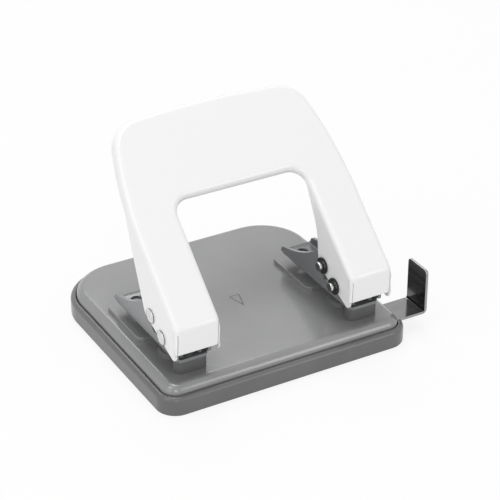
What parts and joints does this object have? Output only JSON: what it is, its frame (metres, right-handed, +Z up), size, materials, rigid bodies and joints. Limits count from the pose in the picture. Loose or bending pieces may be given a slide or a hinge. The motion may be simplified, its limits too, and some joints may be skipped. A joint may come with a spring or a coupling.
{
  "type": "two-hole paper punch",
  "caption": "Desk paper punch with a white arched lever handle, grey steel base with chip tray, channel brackets and a pull-out paper guide.",
  "frame": {"origin": "middle of the chip tray's flat underside, on the table", "axes": "+X along the line of the two holes towards the paper guide, +Y towards the side where the paper goes in, +Z up"},
  "size_m": [0.1277, 0.1072, 0.0957],
  "materials": {
    "white_paint": "gloss",
    "grey_paint": "satin",
    "grey_plastic": "satin",
    "bracket_paint": "satin",
    "bright_steel": "polished",
    "ground_steel": "ground",
    "spring_steel": "drawn",
    "black_steel": "gloss",
    "black_plastic": "satin"
  },
  "bodies": {
    "base": {"base_plate": "grey_paint", "guide_block": "black_plastic", "left_bracket": "bracket_paint", "right_bracket": "bracket_paint", "left_bracket_rivets": "ground_steel", "right_bracket_rivets": "ground_steel", "left_pivot_pin": "bright_steel", "right_pivot_pin": "bright_steel", "left_pivot_clip": "black_steel", "right_pivot_clip": "black_steel", "left_return_spring": "spring_steel", "right_return_spring": "spring_steel"},
    "tray": {"chip_tray": "grey_plastic"},
    "guide": {"paper_guide": "black_steel"},
    "lever": {"handle": "white_paint", "left_drive_pin": "bright_steel", "right_drive_pin": "bright_steel", "left_drive_clip": "black_steel", "right_drive_clip": "black_steel"},
    "punch_left": {"left_punch": "ground_steel"},
    "punch_right": {"right_punch": "ground_steel"}
  },
  "joints": [
    {"name": "handle_press", "type": "hinge", "parent": "base", "child": "lever", "pos_m": [0, -0.03652, 0.0271], "axis": [-1, 0, 0], "range_deg": [0, 38], "stiffness_Nm_per_rad": 0.25, "springref_deg": -45.84, "deforming": ["left_return_spring", "right_return_spring"]},
    {"name": "left_punch_slide", "type": "slide", "parent": "base", "child": "punch_left", "axis": [0, 0, -1], "range_m": [0, 0.00672]},
    {"name": "right_punch_slide", "type": "slide", "parent": "base", "child": "punch_right", "axis": [0, 0, -1], "range_m": [0, 0.00672]},
    {"name": "guide_slide", "type": "slide", "parent": "base", "child": "guide", "axis": [1, 0, 0], "range_m": [-0.008, 0.072]},
    {"name": "tray_pull", "type": "slide", "parent": "base", "child": "tray", "axis": [0, 0, -1], "range_m": [0, 0.02]}
  ],
  "couplings": [
    {"joint": "left_punch_slide", "follows": "handle_press", "m_per_rad": 0.010136},
    {"joint": "right_punch_slide", "follows": "handle_press", "m_per_rad": 0.010136}
  ]
}
